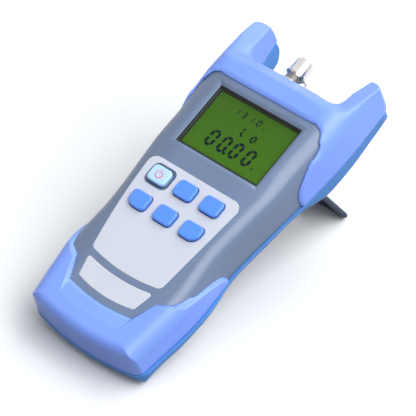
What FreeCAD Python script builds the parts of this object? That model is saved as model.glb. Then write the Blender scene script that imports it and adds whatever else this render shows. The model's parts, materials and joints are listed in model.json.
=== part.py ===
"""Hand-held optical power meter for fibre work, standing on its rear stand.

The meter is modelled lying on its back: X runs across it, Y up the body from its bottom end, and
Z out of the front face, which is the plane z = 0.  The last step leans the whole model back onto
its stand, with the floor at z = 0 and the origin under the middle of its box.  Millimetres.
"""
import FreeCAD
import Part
import math
import os
from FreeCAD import Vector

# ---------------------------------------------------------------- driving dimensions
# body outline: half widths of the grey front case at the parting line, and where they lie along Y
end_half, end_half_y = 31.3, 4.0
hip_half, hip_y = 35.2, 36.0
waist_half, waist_y = 34.3, 62.0
chest_half, chest_y = 35.8, 84.0
shoulder_half, shoulder_y = 38.2, 110.0
head_half, head_y = 39.7, 140.0
tip_half, tip_y = 38.0, 184.0
body_top = 176.6                 # ends of the two horns
end_low = -1.7                   # bottom end of the guard at the parting line
end_lean = 9.8                   # lean of the bottom end's front half, degrees
end_bow = 143.0                  # radius of the bowed bottom end, seen from the front
corner_round = 5.6               # corner of the grey case, seen from the front
tip_round, tip_edge_round = 7.6, 5.8            # outer corner of a horn, and its front edge
grip_face_round, head_face_round = 7.0, 9.5     # rounding from the face down to the sides
grip_draft, head_draft = 4.0, 8.0               # lean of the front shell's sides, degrees
face_change_low, face_change_high = 92.0, 122.0
end_round = 3.4                  # rounding from the face down to the bottom end
rear_draft = 4.0

# depths below the face
seam_depth_end = 15.0            # parting line at the bottom end
seam_slope = 0.05                # how fast the parting line drops towards the horns
grip_depth, grip_top = 26.0, 45.0
waist_depth, waist_top = 27.8, 98.0
head_depth, head_start = 34.0, 130.0
grip_back_round, head_back_round = 10.4, 6.0
back_change_low, back_change_high = 106.0, 126.0

case_wall = 2.2
guard_thick = 1.6                # blue guards over the grey case
rim_step = 1.3                   # rear case stands out this far from the grey case at the waist,
grip_rim, tip_rim = 2.8, 0.2     # and this far at the grip and at the tips of the horns
grip_rim_top, waist_rim_low, waist_rim_top = 53.0, 65.0, 134.0
seam_reveal = 0.4                # shadow line between guards and rear case
fit_gap = 0.3                    # clearance round soft or loose pieces
slip = 0.05                      # radial clearance of running fits

# yoke between the horns
yoke_floor = 155.3
horn_width = 12.6                # of one horn in the grey case, at the yoke's floor
yoke_flare = 0.173               # how fast the gap widens towards the tips
yoke_corner = 3.0
yoke_bevel_start = 149.6         # ridge of the bevel on the guard's front face
yoke_bevel_depth = 4.8           # depth at which the bevel meets the yoke floor
horn_drop_start, horn_drop = 0.8, 0.345
horn_lean = 0.286
horn_lean_x = 40.0
horn_pocket_in, horn_pocket_width = 6.0, 2.0
guard_bed = (0.0, -1.2, -1.1)    # the grey case follows the bevel this far under the guard

# fingers of the guards on the sides: (y, z) from the face round the tip to the parting line
upper_finger = ((133.0, -2.8), (121.8, -5.6), (112.6, -11.2), (110.2, -14.4), (109.0, -19.4))
lower_finger = ((33.2, -0.4), (46.5, -5.0), (59.1, -11.2), (62.3, -15.0), (63.2, -19.4))
finger_slope = 1.4               # how far a finger's edge leans back over the guard's thickness

# display
window_half, window_low, window_high = 24.7, 101.1, 135.1
window_bevel, window_bevel_depth = 1.8, 1.0
gasket_wall, gasket_lip = 0.45, 1.4
lens_top, lens_thick = 1.9, 0.8
lcd_border = 2.4
lcd_thick = 2.0
backlight_thick = 2.4

# key field
panel_thick, panel_sink = 0.5, 0.4
panel_top, panel_top_right, panel_top_left = 90.0, 27.1, 28.4
panel_low, panel_low_half, panel_bow = 37.2, 21.2, 2.4
panel_side_bow = 1.2             # bulge of the panel's left edge
panel_corner, panel_top_corner = 3.0, 4.6
label_top, label_top_half = 33.6, 19.8
label_low, label_low_half, label_bow = 23.0, 17.1, 2.1
key_pitch, key_shift = 15.9, -1.3
key_rows = (81.8, 67.0)
key_width, key_height = 10.7, 8.5
key_corner = 2.2
key_wide_corner = 4.6            # outer lower corner of the two outermost lower keys
key_proud = 2.1
key_gap = 0.35
key_travel = 1.0
key_flange, key_flange_thick = 0.9, 1.0
power_ring_width, power_ring_height, power_ring_corner = 14.0, 11.6, 3.4
power_ring_sink = 0.3
dome_radius, dome_height = 3.0, 0.4

board_thick = 1.6
board_half, board_low, board_high = 30.5, 11.0, 147.0

# optical port
port_x, port_depth = -5.0, 14.5
port_thread_radius = 4.0         # M8 x 0.75 outside diameter
port_thread_pitch = 0.75
ferrule_radius = 1.26
port_flange_radius, port_flange_thick = 7.0, 2.0
nut_radius, nut_thick = 6.0, 1.6
tag_thick = 0.4
tag_reach = 9.6
detector_radius, detector_length = 4.2, 9.0
diode_radius, diode_length = 2.7, 3.6

# dust cap on its ball chain
cap_radius, cap_length, cap_end = 4.6, 8.6, 1.2
cap_stand_off = 3.7              # skirt of the cap above the nut
cap_groove_depth, cap_groove_width, cap_groove_up = 0.22, 0.9, 0.4
cap_boss_radius, cap_boss = 3.7, 0.6
cap_seat_gap = 0.1
ring_width, ring_thick = 0.75, 0.7
bead_radius, bead_pitch = 0.75, 2.1
link_radius = 0.25
chain_drop = 6.0                 # how far the chain's loop hangs below the back
chain_gap = 0.12                 # play between beads and what they touch

# stand
stand_pin_y, stand_pin_depth = 125.8, 31.0
stand_pin_radius = 1.25
stand_half = 23.5
stand_length = 60.8
stand_thick = 2.4
stand_knuckle = 2.4
stand_open_past = 13.1           # degrees past square to the face, towards the horns
stand_stow_rise = 0.104          # slope of the folded stand along the back
stand_gap = 0.5
recess_wall = 1.6

# batteries
cell_radius, cell_length, cell_count = 5.25, 44.5, 3
cell_gap = 0.6
cell_low = 11.8
bay_clear = 1.6                  # bay beyond the cells' flat ends
cover_thick = 1.8
cover_gap = 0.25
cover_ledge = 2.0
cover_margin = 1.5
contact_thick = 0.4
spring_length = 3.6

# case screws
screw_places = ((27.0, 13.5), (27.5, 143.0))
screw_radius, screw_head_radius, screw_head = 1.25, 2.4, 1.8
screw_length = 11.0
boss_radius = 3.2

STATIONS = tuple(range(-10, 200, 10))           # where the cross-sections are set
FAR = 120.0                      # reach of cutting tools, well past the body

# ---------------------------------------------------------------- derived places
yoke_half = head_half - horn_width
rear_end = end_low - 0.4
board_top = lens_top + lens_thick + 2 * gasket_wall + lcd_thick + backlight_thick
panel_surface = panel_thick - panel_sink
nut_top = yoke_floor + tag_thick + nut_thick
cap_low = nut_top + cap_stand_off
port_end = cap_low + cap_length - cap_end - cap_seat_gap
cell_depth = grip_depth - cover_thick - fit_gap - cell_radius
cell_high = cell_low + cell_length
bay_low, bay_high = cell_low - bay_clear, cell_high + spring_length
cover_low, cover_high = bay_low - cover_margin, bay_high + cover_margin
cell_pitch = 2 * cell_radius + cell_gap
bay_half = cell_pitch * (cell_count - 1) / 2 + cell_radius + cell_gap
cover_half = bay_half + cover_ledge


# ---------------------------------------------------------------- small helpers
def ease(low, high, share):
    """Smooth step from low to high as share goes from 0 to 1."""
    share = min(max(share, 0.0), 1.0)
    return low + (high - low) * (1 - math.cos(math.pi * share)) / 2


def case_half(y):
    """Half width of the grey case at the parting line: one fair curve through the given widths."""
    knots = [(end_half_y, end_half), (hip_y, hip_half), (waist_y, waist_half),
             (chest_y, chest_half), (shoulder_y, shoulder_half), (head_y, head_half),
             (tip_y, tip_half)]
    y = min(max(y, knots[0][0]), knots[-1][0])
    for number in range(len(knots) - 1):
        y0, w0 = knots[number]
        y1, w1 = knots[number + 1]
        if y <= y1:
            before = knots[max(number - 1, 0)]
            after = knots[min(number + 2, len(knots) - 1)]
            run = y1 - y0
            slope0 = (w1 - before[1]) / (y1 - before[0]) * run
            slope1 = (after[1] - w0) / (after[0] - y0) * run
            t = (y - y0) / run
            rise = w1 - w0
            return w0 + t * (slope0 + t * (3 * rise - 2 * slope0 - slope1
                                           + t * (slope0 + slope1 - 2 * rise)))
    return tip_half


def face_change(y):
    """Share of the way from the grip's cross-section to the head's."""
    return (y - face_change_low) / (face_change_high - face_change_low)


def face_round(y):
    return ease(grip_face_round, head_face_round, face_change(y))


def side_draft(y):
    return math.radians(ease(grip_draft, head_draft, face_change(y)))


def seam_depth(y):
    return seam_depth_end + seam_slope * y


def back_depth(y):
    if y < waist_top:
        return ease(grip_depth, waist_depth, (y - grip_top) / (waist_top - grip_top))
    return ease(waist_depth, head_depth, (y - waist_top) / (head_start - waist_top))


def rear_rim(y):
    """How far the rear case stands out from the grey case."""
    if y < waist_rim_low:
        return ease(grip_rim, rim_step, (y - grip_rim_top) / (waist_rim_low - grip_rim_top))
    return ease(rim_step, tip_rim, (y - waist_rim_top) / (tip_y - waist_rim_top))


def back_round(y):
    share = (y - back_change_low) / (back_change_high - back_change_low)
    return ease(grip_back_round, head_back_round, share)


def block(x0, x1, y0, y1, z0, z1):
    return Part.makeBox(x1 - x0, y1 - y0, z1 - z0, Vector(x0, y0, z0))


def rod_y(x, z, radius, y0, y1):
    return Part.makeCylinder(radius, y1 - y0, Vector(x, y0, z), Vector(0, 1, 0))


def rod_z(x, y, radius, z0, z1):
    return Part.makeCylinder(radius, z1 - z0, Vector(x, y, z0), Vector(0, 0, 1))


def rod_x(y, z, radius, x0, x1):
    return Part.makeCylinder(radius, x1 - x0, Vector(x0, y, z), Vector(1, 0, 0))


def line(a, b):
    return Part.LineSegment(a, b).toShape()


def arc(a, b, c):
    return Part.Arc(a, b, c).toShape()


def polygon(points):
    return Part.makePolygon([Vector(*p) for p in points] + [Vector(*points[0])])


def side_prism(points, x0, x1):
    """Prism along X over a (y, z) polygon."""
    face = Part.Face(polygon([(x0, y, z) for y, z in points]))
    return face.extrude(Vector(x1 - x0, 0, 0))


def plan_prism(points, z0, z1):
    """Prism along Z over an (x, y) polygon."""
    face = Part.Face(polygon([(x, y, z0) for x, y in points]))
    return face.extrude(Vector(0, 0, z1 - z0))


def edges_along(shape, axis):
    """Straight edges of a shape that run along an axis."""
    found = []
    for edge in shape.Edges:
        if len(edge.Vertexes) == 2:
            run = edge.Vertexes[1].Point.sub(edge.Vertexes[0].Point)
            if run.Length > 1e-6 and abs(run.normalize().dot(axis)) > 0.9999:
                found.append(edge)
    return found


def rounded_block(x, y, width, height, radius, z0, z1):
    """Upright block with rounded corners, centred on x, y."""
    body = block(x - width / 2, x + width / 2, y - height / 2, y + height / 2, z0, z1)
    return body.makeFillet(radius, edges_along(body, Vector(0, 0, 1)))


def mirrored(shape):
    return shape.mirror(Vector(0, 0, 0), Vector(1, 0, 0))


def fused(shapes):
    return shapes[0].multiFuse(shapes[1:]).removeSplitter()


# ---------------------------------------------------------------- the body's outer forms
def front_section(y, grow):
    """Cross-section of the front shell at y: leaning sides rounded into a flat face."""
    lean = side_draft(y)
    base = -seam_depth(y) - 3.0
    half = case_half(y) + grow
    radius = face_round(y) + grow
    top = grow
    low = Vector(half + 3.0 * math.tan(lean), y, base)
    centre_z = top - radius
    centre_x = half - (centre_z + seam_depth(y)) * math.tan(lean) - radius / math.cos(lean)
    turn = (math.pi / 2 + lean) / 2
    start = Vector(centre_x + radius * math.cos(lean), y, centre_z + radius * math.sin(lean))
    middle = Vector(centre_x + radius * math.cos(turn), y, centre_z + radius * math.sin(turn))
    end = Vector(centre_x, y, top)
    return closed_section(low, start, middle, end)


def rear_section(y, inset):
    """Cross-section of the rear case at y, or of its hollow where there is an inset."""
    lean = math.radians(rear_draft)
    lift = 3.0
    half = case_half(y) + (min(rear_rim(y), rim_step) - inset if inset else rear_rim(y))
    radius = back_round(y) - inset
    back = -back_depth(y) + inset
    low = Vector(half + lift * math.tan(lean), y, -seam_depth(y) + lift)
    centre_z = back + radius
    centre_x = half - (-seam_depth(y) - centre_z) * math.tan(lean) - radius / math.cos(lean)
    turn = (math.pi / 2 + lean) / 2
    start = Vector(centre_x + radius * math.cos(lean), y, centre_z - radius * math.sin(lean))
    middle = Vector(centre_x + radius * math.cos(turn), y, centre_z - radius * math.sin(turn))
    end = Vector(centre_x, y, back)
    return closed_section(low, start, middle, end)


def closed_section(low, start, middle, end):
    """Wire of one half section and its mirror image."""
    flip = [Vector(-p.x, p.y, p.z) for p in (low, start, middle, end)]
    return Part.Wire([
        line(low, start),
        arc(start, middle, end),
        line(end, flip[3]),
        arc(flip[3], flip[2], flip[1]),
        line(flip[1], flip[0]),
        line(flip[0], low),
    ])


def end_plan(grow, low_y):
    """Bottom outline seen from the front: a bowed end and its rounded corners, sides left wide."""
    radius = corner_round + grow
    side = case_half(low_y + radius + 4.0) + grow + 0.05
    centre = low_y + end_bow
    corner_y = centre - math.sqrt((end_bow - radius) ** 2 - (side - radius) ** 2)
    away = Vector(side - radius, corner_y - centre, 0).normalize()
    touch = Vector(side - radius, corner_y, 0) + away * radius
    turn = math.atan2(away.y, away.x) / 2
    bulge = Vector(side - radius + radius * math.cos(turn), corner_y + radius * math.sin(turn), 0)
    wide = head_half + grow + 3.0
    hip = Vector(side, corner_y, 0)
    flank = Vector(wide, corner_y + FAR / 2, 0)
    far = Vector(wide, 2 * FAR, 0)
    right = [arc(touch, bulge, hip), line(hip, flank), line(flank, far)]
    left = [mirrored(edge) for edge in right]
    bottom = arc(Vector(-touch.x, touch.y, 0), Vector(0, low_y, 0), touch)
    top = line(far, Vector(-far.x, far.y, 0))
    return Part.Face(Part.Wire(Part.__sortEdges__([bottom] + right + [top] + left)))


def tip_plan(grow):
    """Top outline seen from the front: straight across, with the horns' large outer corners."""
    radius = tip_round + grow
    high_y = body_top - guard_thick + grow
    low_y = high_y - radius
    side = case_half(low_y) + grow + 0.05
    wide = head_half + grow + 3.0
    bend = radius * (1 - math.sqrt(0.5))
    right = [
        line(Vector(wide, -FAR, 0), Vector(wide, low_y - FAR / 6, 0)),
        line(Vector(wide, low_y - FAR / 6, 0), Vector(side, low_y, 0)),
        arc(Vector(side, low_y, 0), Vector(side - bend, high_y - bend, 0),
            Vector(side - radius, high_y, 0)),
    ]
    left = [mirrored(edge) for edge in right]
    top = line(Vector(side - radius, high_y, 0), Vector(radius - side, high_y, 0))
    bottom = line(Vector(wide, -FAR, 0), Vector(-wide, -FAR, 0))
    return Part.Face(Part.Wire(Part.__sortEdges__(right + [top] + left + [bottom])))


def front_body(grow):
    """Solid form of the front shell, grown by a skin; the parting plane cuts it later."""
    sides = Part.makeLoft([front_section(y, grow) for y in STATIONS], True, False)
    slope = math.tan(math.radians(end_lean))
    low_y = end_low + guard_thick - grow + (seam_depth_end + grow) * slope
    end = end_plan(grow, low_y).extrude(Vector(0, -slope * FAR / 2, -FAR / 2))
    tip = tip_plan(grow).extrude(Vector(0, 0, -FAR / 2))
    for plan, radius in ((end, end_round), (tip, tip_edge_round)):
        plan.translate(Vector(0, 0, grow))
        rim = [e for e in plan.Edges if all(abs(v.Z - grow) < 1e-6 for v in e.Vertexes)]
        sides = sides.common(plan.makeFillet(radius + grow, rim))
    return sides


def rear_body(inset):
    """Solid form of the rear case, shrunk by a wall; the parting plane cuts it later."""
    sides = Part.makeLoft([rear_section(y, inset) for y in STATIONS], True, False)
    end_grow = (rim_step if inset else grip_rim) - inset
    for plan in (end_plan(end_grow, rear_end + inset), tip_plan(tip_rim - inset)):
        solid = plan.extrude(Vector(0, 0, FAR))
        solid.translate(Vector(0, 0, -FAR))
        sides = sides.common(solid)
    return sides.cut(back_end_waste(inset))


def back_end_waste(inset):
    """What the large rounding under the bottom end takes away, swept along the bowed end."""
    low_y = rear_end + inset
    radius = grip_back_round - inset
    back = -grip_depth + inset
    half_turn = 25.0
    points = [
        Vector(0, low_y - 30, back - 20),
        Vector(0, low_y - 30, back + radius),
        Vector(0, low_y, back + radius),
        Vector(0, low_y + radius * (1 - math.sqrt(0.5)), back + radius * (1 - math.sqrt(0.5))),
        Vector(0, low_y + radius, back),
        Vector(0, low_y + radius, back - 20),
    ]
    wire = Part.Wire([
        line(points[0], points[1]),
        line(points[1], points[2]),
        arc(points[2], points[3], points[4]),
        line(points[4], points[5]),
        line(points[5], points[0]),
    ])
    face = Part.Face(wire)
    pole = Vector(0, low_y + end_bow, 0)
    face.rotate(pole, Vector(0, 0, 1), -half_turn)
    return face.revolve(pole, Vector(0, 0, 1), 2 * half_turn)


def below_seam(shift):
    """Everything behind the parting plane, moved by shift towards the face."""
    y0, y1 = -60.0, 240.0
    points = [(y0, shift - seam_depth(y0)), (y1, shift - seam_depth(y1)), (y1, -FAR), (y0, -FAR)]
    return side_prism(points, -FAR, FAR)


def above_seam(shift):
    """Everything in front of the parting plane, moved by shift towards the face."""
    y0, y1 = -60.0, 240.0
    points = [(y0, shift - seam_depth(y0)), (y1, shift - seam_depth(y1)), (y1, FAR), (y0, FAR)]
    return side_prism(points, -FAR, FAR)


def yoke_gap(margin):
    """The gap between the horns, smaller by margin, as a prism through the body."""
    floor = yoke_floor - margin
    high = body_top + 20.0
    wide = yoke_half + (high - yoke_floor) * yoke_flare
    points = [(-yoke_half - margin, floor), (yoke_half + margin, floor), (wide + margin, high), (-wide - margin, high)]
    body = plan_prism(points, -FAR / 2, FAR / 2)
    corners = [e for e in edges_along(body, Vector(0, 0, 1)) if e.Vertexes[0].Y < floor + 1.0]
    return body.makeFillet(yoke_corner + margin, corners)


def horn_end_waste():
    """What the bulging ends of the horns leave outside, seen from the side."""
    reach = body_top + 20.0
    front = Vector(-FAR / 2, body_top - 1.6, -7.0)
    bulge = Vector(-FAR / 2, body_top, -19.0)
    rear = Vector(-FAR / 2, body_top - 1.6, -29.0)
    knee = Vector(-FAR / 2, body_top - 4.6, -33.0)
    back = Vector(-FAR / 2, body_top - 10.0, -head_depth - 1.0)
    wire = Part.Wire([
        line(Vector(-FAR / 2, body_top - 1.6, FAR / 2), front),
        arc(front, bulge, rear),
        arc(rear, knee, back),
        line(back, Vector(-FAR / 2, body_top - 10.0, -FAR / 2)),
        line(Vector(-FAR / 2, body_top - 10.0, -FAR / 2), Vector(-FAR / 2, reach, -FAR / 2)),
        line(Vector(-FAR / 2, reach, -FAR / 2), Vector(-FAR / 2, reach, FAR / 2)),
        line(Vector(-FAR / 2, reach, FAR / 2), Vector(-FAR / 2, body_top - 1.6, FAR / 2)),
    ])
    return Part.Face(wire).extrude(Vector(FAR, 0, 0))


def yoke_bevel_waste():
    """The bevel round the yoke: steep along its floor, gentle along the fronts of the horns."""
    face = guard_thick
    slope = (face + yoke_bevel_depth) / (yoke_floor - yoke_bevel_start)
    reach = 60.0
    floor_cut = side_prism([
        (yoke_bevel_start - 10.0, face + 10.0 * slope),
        (yoke_bevel_start + reach, face - reach * slope),
        (yoke_bevel_start + reach, FAR),
        (yoke_bevel_start - 10.0, FAR),
    ], -FAR / 2, FAR / 2)
    horns = []
    for side in (-1, 1):
        corners = [(yoke_bevel_start - 20.0, face), (body_top + 20.0, face), (body_top + 20.0, FAR),
                   (yoke_bevel_start - 20.0, FAR)]
        lower = []
        for x in (0.0, 60.0):
            row = []
            for number, (y, z) in enumerate(corners):
                if number < 2:
                    z = horn_drop_start - horn_drop * (y - yoke_bevel_start) + horn_lean * (x - horn_lean_x)
                row.append((side * x, y, z))
            lower.append(polygon(row))
        horns.append(Part.makeLoft(lower, True, True))
    return floor_cut.common(horns[0].fuse(horns[1]))


# ---------------------------------------------------------------- guard openings
def ring_of(points, z, bow_index=None, bow=0.0):
    """Closed wire through (x, y) points at height z; one side may be bowed downwards."""
    edges = []
    count = len(points)
    for i in range(count):
        a = Vector(points[i][0], points[i][1], z)
        b = Vector(points[(i + 1) % count][0], points[(i + 1) % count][1], z)
        if i == bow_index:
            edges.append(arc(a, Vector((a.x + b.x) / 2, (a.y + b.y) / 2 - bow, z), b))
        else:
            edges.append(line(a, b))
    return Part.Wire(edges)


def taper(inner, outer, bow_inner=0.0, bow_outer=0.0, bow_index=None):
    """Opening whose wall leans outwards from the grey face up to the guard's face."""
    under = ring_of(inner, -head_face_round - 4.0, bow_index, bow_inner)
    foot = ring_of(inner, 0.0, bow_index, bow_inner)
    head = ring_of(outer, guard_thick, bow_index, bow_outer)
    over = ring_of(outer, guard_thick + 6.0, bow_index, bow_outer)
    return [Part.makeLoft([a, b], True, True) for a, b in ((under, foot), (foot, head), (head, over))]


def both_sides(points):
    """Right-hand points and their mirror images, as one closed ring."""
    return points + [(-x, y) for x, y in reversed(points)]


def upper_opening():
    """Plan opening of the upper guard round the display."""
    inner = [(34.6, 90.0), (34.9, 112.0), (34.9, 124.0), (34.6, 133.4), (33.0, 137.0), (29.8, 139.2)]
    outer = [(36.6, 90.0), (37.0, 112.0), (37.2, 124.0), (37.0, 134.8), (35.2, 139.2), (31.2, 141.8)]
    return taper(both_sides(inner), both_sides(outer))


def lower_opening():
    """Plan opening of the lower guard: a bowed edge, two shoulders and the sides."""
    inner = [(19.2, 19.6), (24.6, 30.6), (26.0, 31.4), (29.6, 33.4), (31.4, 36.0), (32.2, 46.0),
             (32.4, 90.0)]
    outer = [(18.1, 11.4), (24.4, 28.2), (26.2, 29.0), (31.4, 31.4), (33.6, 34.6), (34.4, 46.0),
             (34.6, 90.0)]
    return taper(both_sides(inner), both_sides(outer), 2.0, 1.4, len(inner) * 2 - 1)


def finger_curve(points, x, push, way):
    """Outline at x of what is cut away beyond a finger, its edge pushed back into the guard."""
    start, middle, shoulder, tip, end = [Vector(x, y - way * push, z - push) for y, z in points]
    low = -FAR / 4
    beyond = end.y + way * FAR / 2
    return Part.Wire([
        line(Vector(x, start.y, FAR / 2), start),
        arc(start, middle, shoulder),
        arc(shoulder, tip, end),
        line(end, Vector(x, end.y, low)),
        line(Vector(x, end.y, low), Vector(x, beyond, low)),
        line(Vector(x, beyond, low), Vector(x, beyond, FAR / 2)),
        line(Vector(x, beyond, FAR / 2), Vector(x, start.y, FAR / 2)),
    ])


def finger_waste(points, way):
    """Cuts the fingers of a guard to rounded tips, their edges leaning back up the guard."""
    foot = case_half(points[2][0]) - guard_thick / 2
    stages = ((0.0, 0.0), (foot, 0.0), (foot + guard_thick, finger_slope), (FAR / 2, finger_slope))
    waste = []
    for (x0, push0), (x1, push1) in zip(stages, stages[1:]):
        curves = [finger_curve(points, x0, push0, way), finger_curve(points, x1, push1, way)]
        waste.append(Part.makeLoft(curves, True, True))
    return waste + [mirrored(each) for each in waste]


# ---------------------------------------------------------------- shells
def make_shells():
    """Grey front case, the two blue guards and the blue rear case, from the same outer forms."""
    grey = front_body(0.0)
    skin = front_body(guard_thick)
    case_top = yoke_floor - guard_thick
    past_case = block(-FAR / 2, FAR / 2, case_top, FAR * 2, -FAR / 2, FAR / 2)
    under_bevel = yoke_bevel_waste()
    under_bevel.translate(Vector(*guard_bed))
    core = grey.cut([past_case, under_bevel])
    guards = skin.cut(below_seam(seam_reveal)).cut(core)

    upper = guards.cut([yoke_gap(0.0), yoke_bevel_waste(), horn_end_waste()])
    upper = upper.cut(block(-FAR / 2, FAR / 2, -20, 95, -FAR / 2, FAR / 2))
    upper = upper.cut(upper_opening())
    upper = upper.cut(finger_waste(upper_finger, -1))
    pocket = horn_pocket(case_top + 2.5, -FAR / 4, -12.0)
    upper = upper.cut([pocket, mirrored(pocket), port_hole()])

    lower = guards.cut(block(-FAR / 2, FAR / 2, 80, FAR * 2, -FAR / 2, FAR / 2))
    lower = lower.cut(lower_opening())
    lower = lower.cut(finger_waste(lower_finger, 1))

    front = core.cut(below_seam(0.0)).cut(front_cavity())
    rear = rear_body(0.0).cut(above_seam(0.0))
    rear = rear.cut([yoke_gap(0.0), horn_end_waste()])
    return front, upper, lower, rear


def horn_pocket(low_y, z0, z1):
    """Narrow hollow that lightens the right-hand horn."""
    left = yoke_half + horn_pocket_in
    return block(left, left + horn_pocket_width, low_y, body_top - 6.0, z0, z1)


def front_cavity():
    """Room inside the front shell."""
    room = front_body(-case_wall)
    under_bevel = yoke_bevel_waste()
    under_bevel.translate(Vector(*guard_bed) + Vector(0, -case_wall * 0.75, -case_wall * 0.7))
    high_y = yoke_floor - guard_thick - case_wall - 0.4
    return room.cut([block(-FAR / 2, FAR / 2, high_y, FAR * 2, -FAR / 2, FAR / 2), under_bevel])


def port_hole():
    return rod_y(port_x, -port_depth, port_thread_radius + 0.15, yoke_floor - 12.0, yoke_floor + 1.0)


def key_places():
    """Name, centre and outline of each key, left to right and top row first."""
    names = ("power_key", "auto_off_key", "zero_key", "light_key", "units_key", "wavelength_key")
    places = []
    for row, y in enumerate(key_rows):
        for column in range(3):
            places.append((names[row * 3 + column], key_shift + (column - 1) * key_pitch, y))
    return places


def key_outline(name, x, y, grow, z0, z1):
    """Key or key hole: a rounded block; the outer lower keys have one wide corner."""
    width = key_width + 2 * grow
    height = key_height + 2 * grow
    body = block(x - width / 2, x + width / 2, y - height / 2, y + height / 2, z0, z1)
    wide = {"light_key": -1, "wavelength_key": 1}.get(name, 0)
    plain, special = [], []
    for edge in edges_along(body, Vector(0, 0, 1)):
        spot = edge.Vertexes[0].Point
        outer_low = wide and (spot.x - x) * wide > 0 and spot.y < y
        (special if outer_low else plain).append(edge)
    body = body.makeFillet(key_corner + grow, plain)
    if special:
        corner = [e for e in edges_along(body, Vector(0, 0, 1))
                  if abs(e.Vertexes[0].X - (x + wide * width / 2)) < 1e-4 and abs(e.Vertexes[0].Y - (y - height / 2)) < 1e-4]
        body = body.makeFillet(key_wide_corner + grow, corner)
    return body


def panel_outline(z0, z1, shrink=0.0):
    """Silver field round the keys: straight top, sides closing downwards, bowed lower edge."""
    low_y, top_y = panel_low + shrink, panel_top - shrink
    right_low = Vector(panel_low_half - shrink, low_y, z0)
    right_top = Vector(panel_top_right - shrink, top_y, z0)
    left_top = Vector(shrink - panel_top_left, top_y, z0)
    left_low = Vector(-right_low.x, low_y, z0)
    left_middle = (left_top + left_low) * 0.5 - Vector(panel_side_bow, 0, 0)
    wire = Part.Wire([
        line(right_low, right_top),
        line(right_top, left_top),
        arc(left_top, left_middle, left_low),
        arc(left_low, Vector(0, low_y - panel_bow, z0), right_low),
    ])
    body = Part.Face(wire).extrude(Vector(0, 0, z1 - z0))
    for radius, high in ((panel_corner, False), (panel_top_corner, True)):
        corners = [e for e in edges_along(body, Vector(0, 0, 1))
                   if (e.Vertexes[0].Y > top_y - 1e-4 or e.Vertexes[0].Y < low_y + 1e-4)
                   and (e.Vertexes[0].Y > (low_y + top_y) / 2) == high]
        body = body.makeFillet(radius - shrink, corners)
    return body


def label_outline(z0, z1, shrink=0.0):
    """Lower silver field: both long edges bowed alike."""
    right_low = Vector(label_low_half - shrink, label_low + shrink, z0)
    right_top = Vector(label_top_half - shrink, label_top - shrink, z0)
    left_low = Vector(-right_low.x, right_low.y, z0)
    left_top = Vector(-right_top.x, right_top.y, z0)
    wire = Part.Wire([
        arc(left_low, Vector(0, right_low.y - label_bow, z0), right_low),
        line(right_low, right_top),
        arc(right_top, Vector(0, right_top.y - label_bow, z0), left_top),
        line(left_top, left_low),
    ])
    body = Part.Face(wire).extrude(Vector(0, 0, z1 - z0))
    return body.makeFillet(1.2 - shrink, edges_along(body, Vector(0, 0, 1)))


def finish_front(front):
    """Window, key holes, panel beds, screw posts and port hole of the grey case."""
    low = ring_of([(-window_half, window_low), (window_half, window_low), (window_half, window_high),
                   (-window_half, window_high)], -window_bevel_depth)
    grow = window_bevel
    high = ring_of([(-window_half - grow, window_low - grow), (window_half + grow, window_low - grow),
                    (window_half + grow, window_high + grow), (-window_half - grow, window_high + grow)], 0.001)
    cuts = [
        Part.makeLoft([low, high], True, True),
        block(-window_half, window_half, window_low, window_high, -case_wall - 1.0, 1.0),
        panel_outline(-panel_sink, 5.0),
        label_outline(-panel_sink, 5.0),
        port_hole(),
    ]
    for name, x, y in key_places():
        cuts.append(key_outline(name, x, y, key_gap, -case_wall - 1.0, 1.0))
    power_x = key_places()[0][1]
    cuts.append(rounded_block(power_x, key_rows[0], power_ring_width - 0.8,
                              power_ring_height - 0.8, power_ring_corner - 0.4,
                              -panel_sink - power_ring_sink, 1.0))
    posts = []
    for x, y in screw_places:
        post = rod_z(x, y, boss_radius, -seam_depth(y), -case_wall + 0.3)
        posts += [post, mirrored(post)]
    front = fused([front] + [p.common(grey_core()) for p in posts])
    for x, y in screw_places:
        hole = rod_z(x, y, screw_radius - 0.1, -seam_depth(y) - 1.0, -seam_depth(y) + screw_length - 3.0)
        cuts += [hole, mirrored(hole)]
    return front.cut(cuts)


def grey_core():
    """Grey case without its hollow, in front of the parting plane."""
    return front_body(0.0).cut(below_seam(0.0))


# ---------------------------------------------------------------- rear case
def stow_line(y, offset):
    """Depth coordinate of the folded stand's middle plane, moved outwards by offset."""
    return -stand_pin_depth + (stand_pin_y - y) * stand_stow_rise - offset


def stand_recess(grow, depth_grow):
    """Pocket in the back that takes the folded stand."""
    low = stand_pin_y - stand_length - 1.2 - grow
    high = stand_pin_y + stand_knuckle + 0.4 + grow
    inner = stand_thick / 2 + stand_gap + depth_grow
    points = [
        (low, -FAR / 2),
        (low, stow_line(low, -inner)),
        (stand_pin_y - 4.0, stow_line(stand_pin_y - 4.0, -inner)),
        (stand_pin_y - 3.2, -stand_pin_depth + stand_knuckle + 0.4 + depth_grow),
        (high, -stand_pin_depth + stand_knuckle + 0.4 + depth_grow),
        (high, -FAR / 2),
    ]
    half = stand_half + stand_gap + grow
    return side_prism(points, -half, half)


def bay_room(grow):
    """Battery bay, open at the back."""
    floor = -cell_depth + cell_radius + fit_gap + grow
    return block(-bay_half - grow, bay_half + grow, bay_low - grow, bay_high + grow, -FAR / 2, floor)


def cover_plan(grow, z0, z1):
    middle = (cover_low + cover_high) / 2
    return rounded_block(0.0, middle, 2 * (cover_half + grow), cover_high - cover_low + 2 * grow, 3.0 + grow, z0, z1)


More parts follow.
